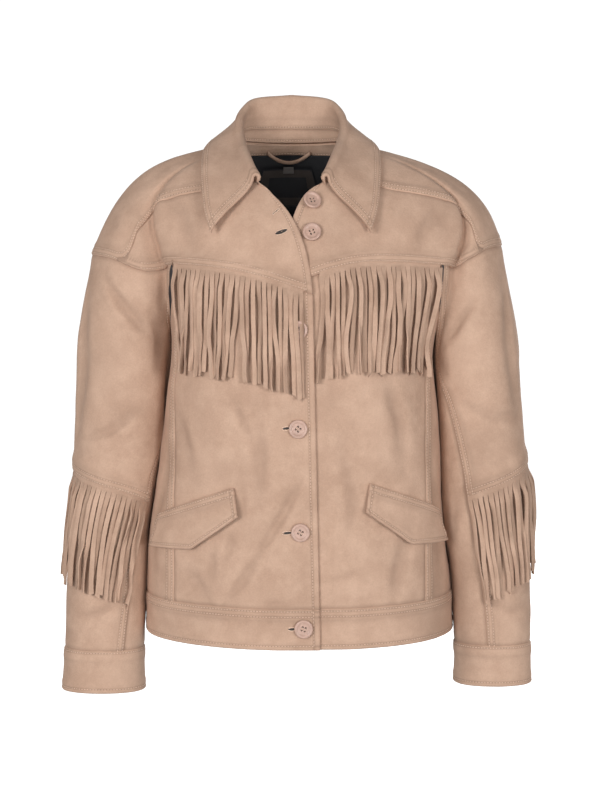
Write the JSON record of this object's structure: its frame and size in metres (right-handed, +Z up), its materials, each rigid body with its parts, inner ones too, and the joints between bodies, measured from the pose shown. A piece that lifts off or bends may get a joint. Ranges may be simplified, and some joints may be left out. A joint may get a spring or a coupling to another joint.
{
  "type": "fringed suede jacket",
  "caption": "Hip-length button-front suede jacket with a spread collar, chest and sleeve fringe, pointed pocket flaps and a hem band, hollow as when worn",
  "frame": {"origin": "level with the high points of the shoulders, on the front closing line's plane, in the middle of the depth", "axes": "+Z up along the garment's height, +Y towards the back, +X to the wearer's left"},
  "size_m": [0.5381, 0.2363, 0.6803],
  "materials": {
    "suede": "light tan suede with a short brushed nap, dull",
    "fringe": "light tan suede cut in strips, raw edges",
    "lining": "black satin-weave lining",
    "label": "dark woven tape, blank",
    "button": "pinkish tan horn-look button, polished"
  },
  "bodies": {
    "root": {"yoke_back": "suede", "front_yoke_right": "suede", "front_yoke_left": "suede", "front_right": "suede", "front_left": "suede", "side_panel_right": "suede", "side_panel_left": "suede", "back_panel": "suede", "hem_band_front_right": "suede", "hem_band_front_left": "suede", "hem_band_back": "suede", "sleeve_upper_right": "suede", "sleeve_upper_left": "suede", "sleeve_lower_right": "suede", "sleeve_lower_left": "suede", "undersleeve_right": "suede", "undersleeve_left": "suede", "cuff_right": "suede", "cuff_left": "suede", "collar_stand": "suede", "collar_leaf": "suede", "neck_facing": "suede", "hanging_loop": "suede", "pocket_flap_right": "suede", "pocket_flap_left": "suede", "chest_fringe_right": "fringe", "chest_fringe_left": "fringe", "sleeve_fringe_right": "fringe", "sleeve_fringe_left": "fringe", "lining_back": "lining", "neck_label": "label", "size_label": "label", "button_1": "button", "button_2": "button", "button_3": "button", "button_4": "button", "button_5": "button", "button_6": "button"}
  },
  "joints": []
}
